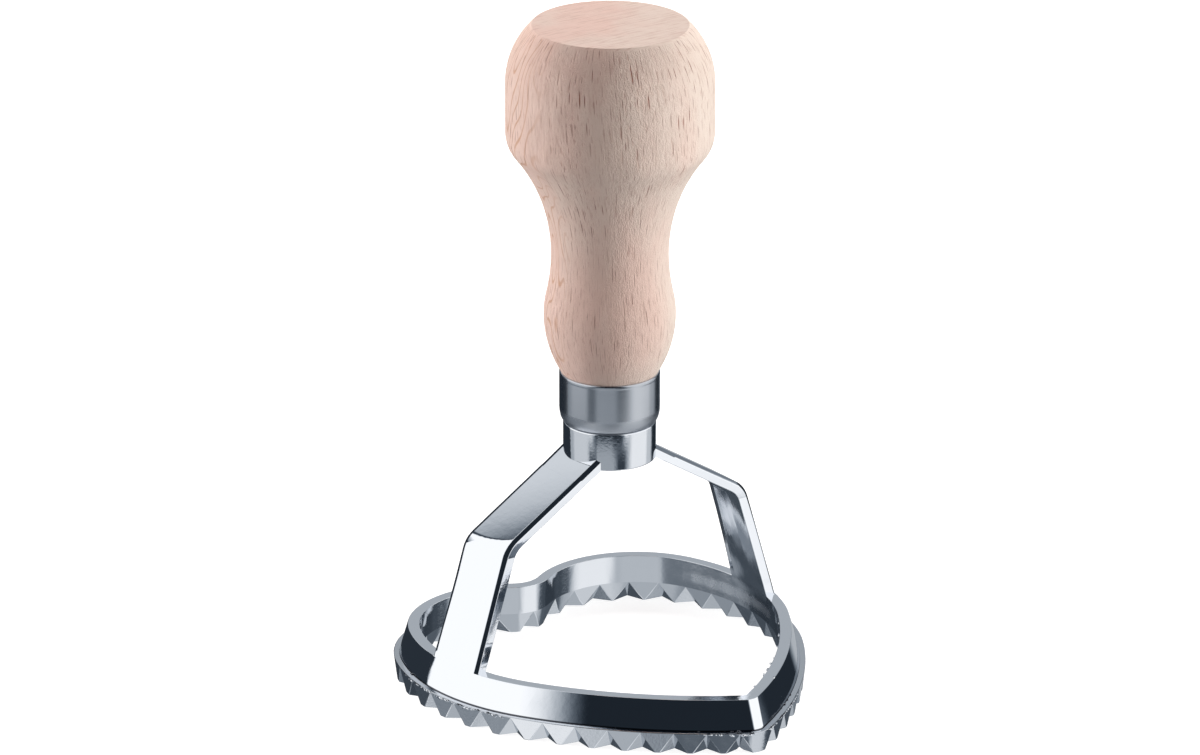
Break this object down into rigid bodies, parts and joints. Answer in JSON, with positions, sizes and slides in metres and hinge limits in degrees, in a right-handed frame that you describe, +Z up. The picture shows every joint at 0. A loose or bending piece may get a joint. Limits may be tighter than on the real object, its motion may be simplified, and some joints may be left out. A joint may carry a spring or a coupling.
{
  "type": "ravioli stamp",
  "caption": "Heart-shaped ravioli stamp: a turned wooden handle on a bright cast yoke whose ring cuts with zigzag teeth.",
  "frame": {"origin": "on the plane of the cutting edge, under the middle of the heart's width and length", "axes": "+Z up along the handle; the heart's tip points to -Y and its cleft to +Y; the two arms stand left and right in X"},
  "size_m": [0.0698, 0.0736, 0.1156],
  "materials": {
    "wood": "smooth, unvarnished beech",
    "satin_steel": "satin, spun",
    "bright_casting": "bright plated die casting",
    "stud_steel": "plain, as turned"
  },
  "bodies": {
    "root": {"wooden_handle": "wood", "ferrule": "satin_steel", "cast_frame": "bright_casting", "fixing_stud": "stud_steel"}
  },
  "joints": []
}
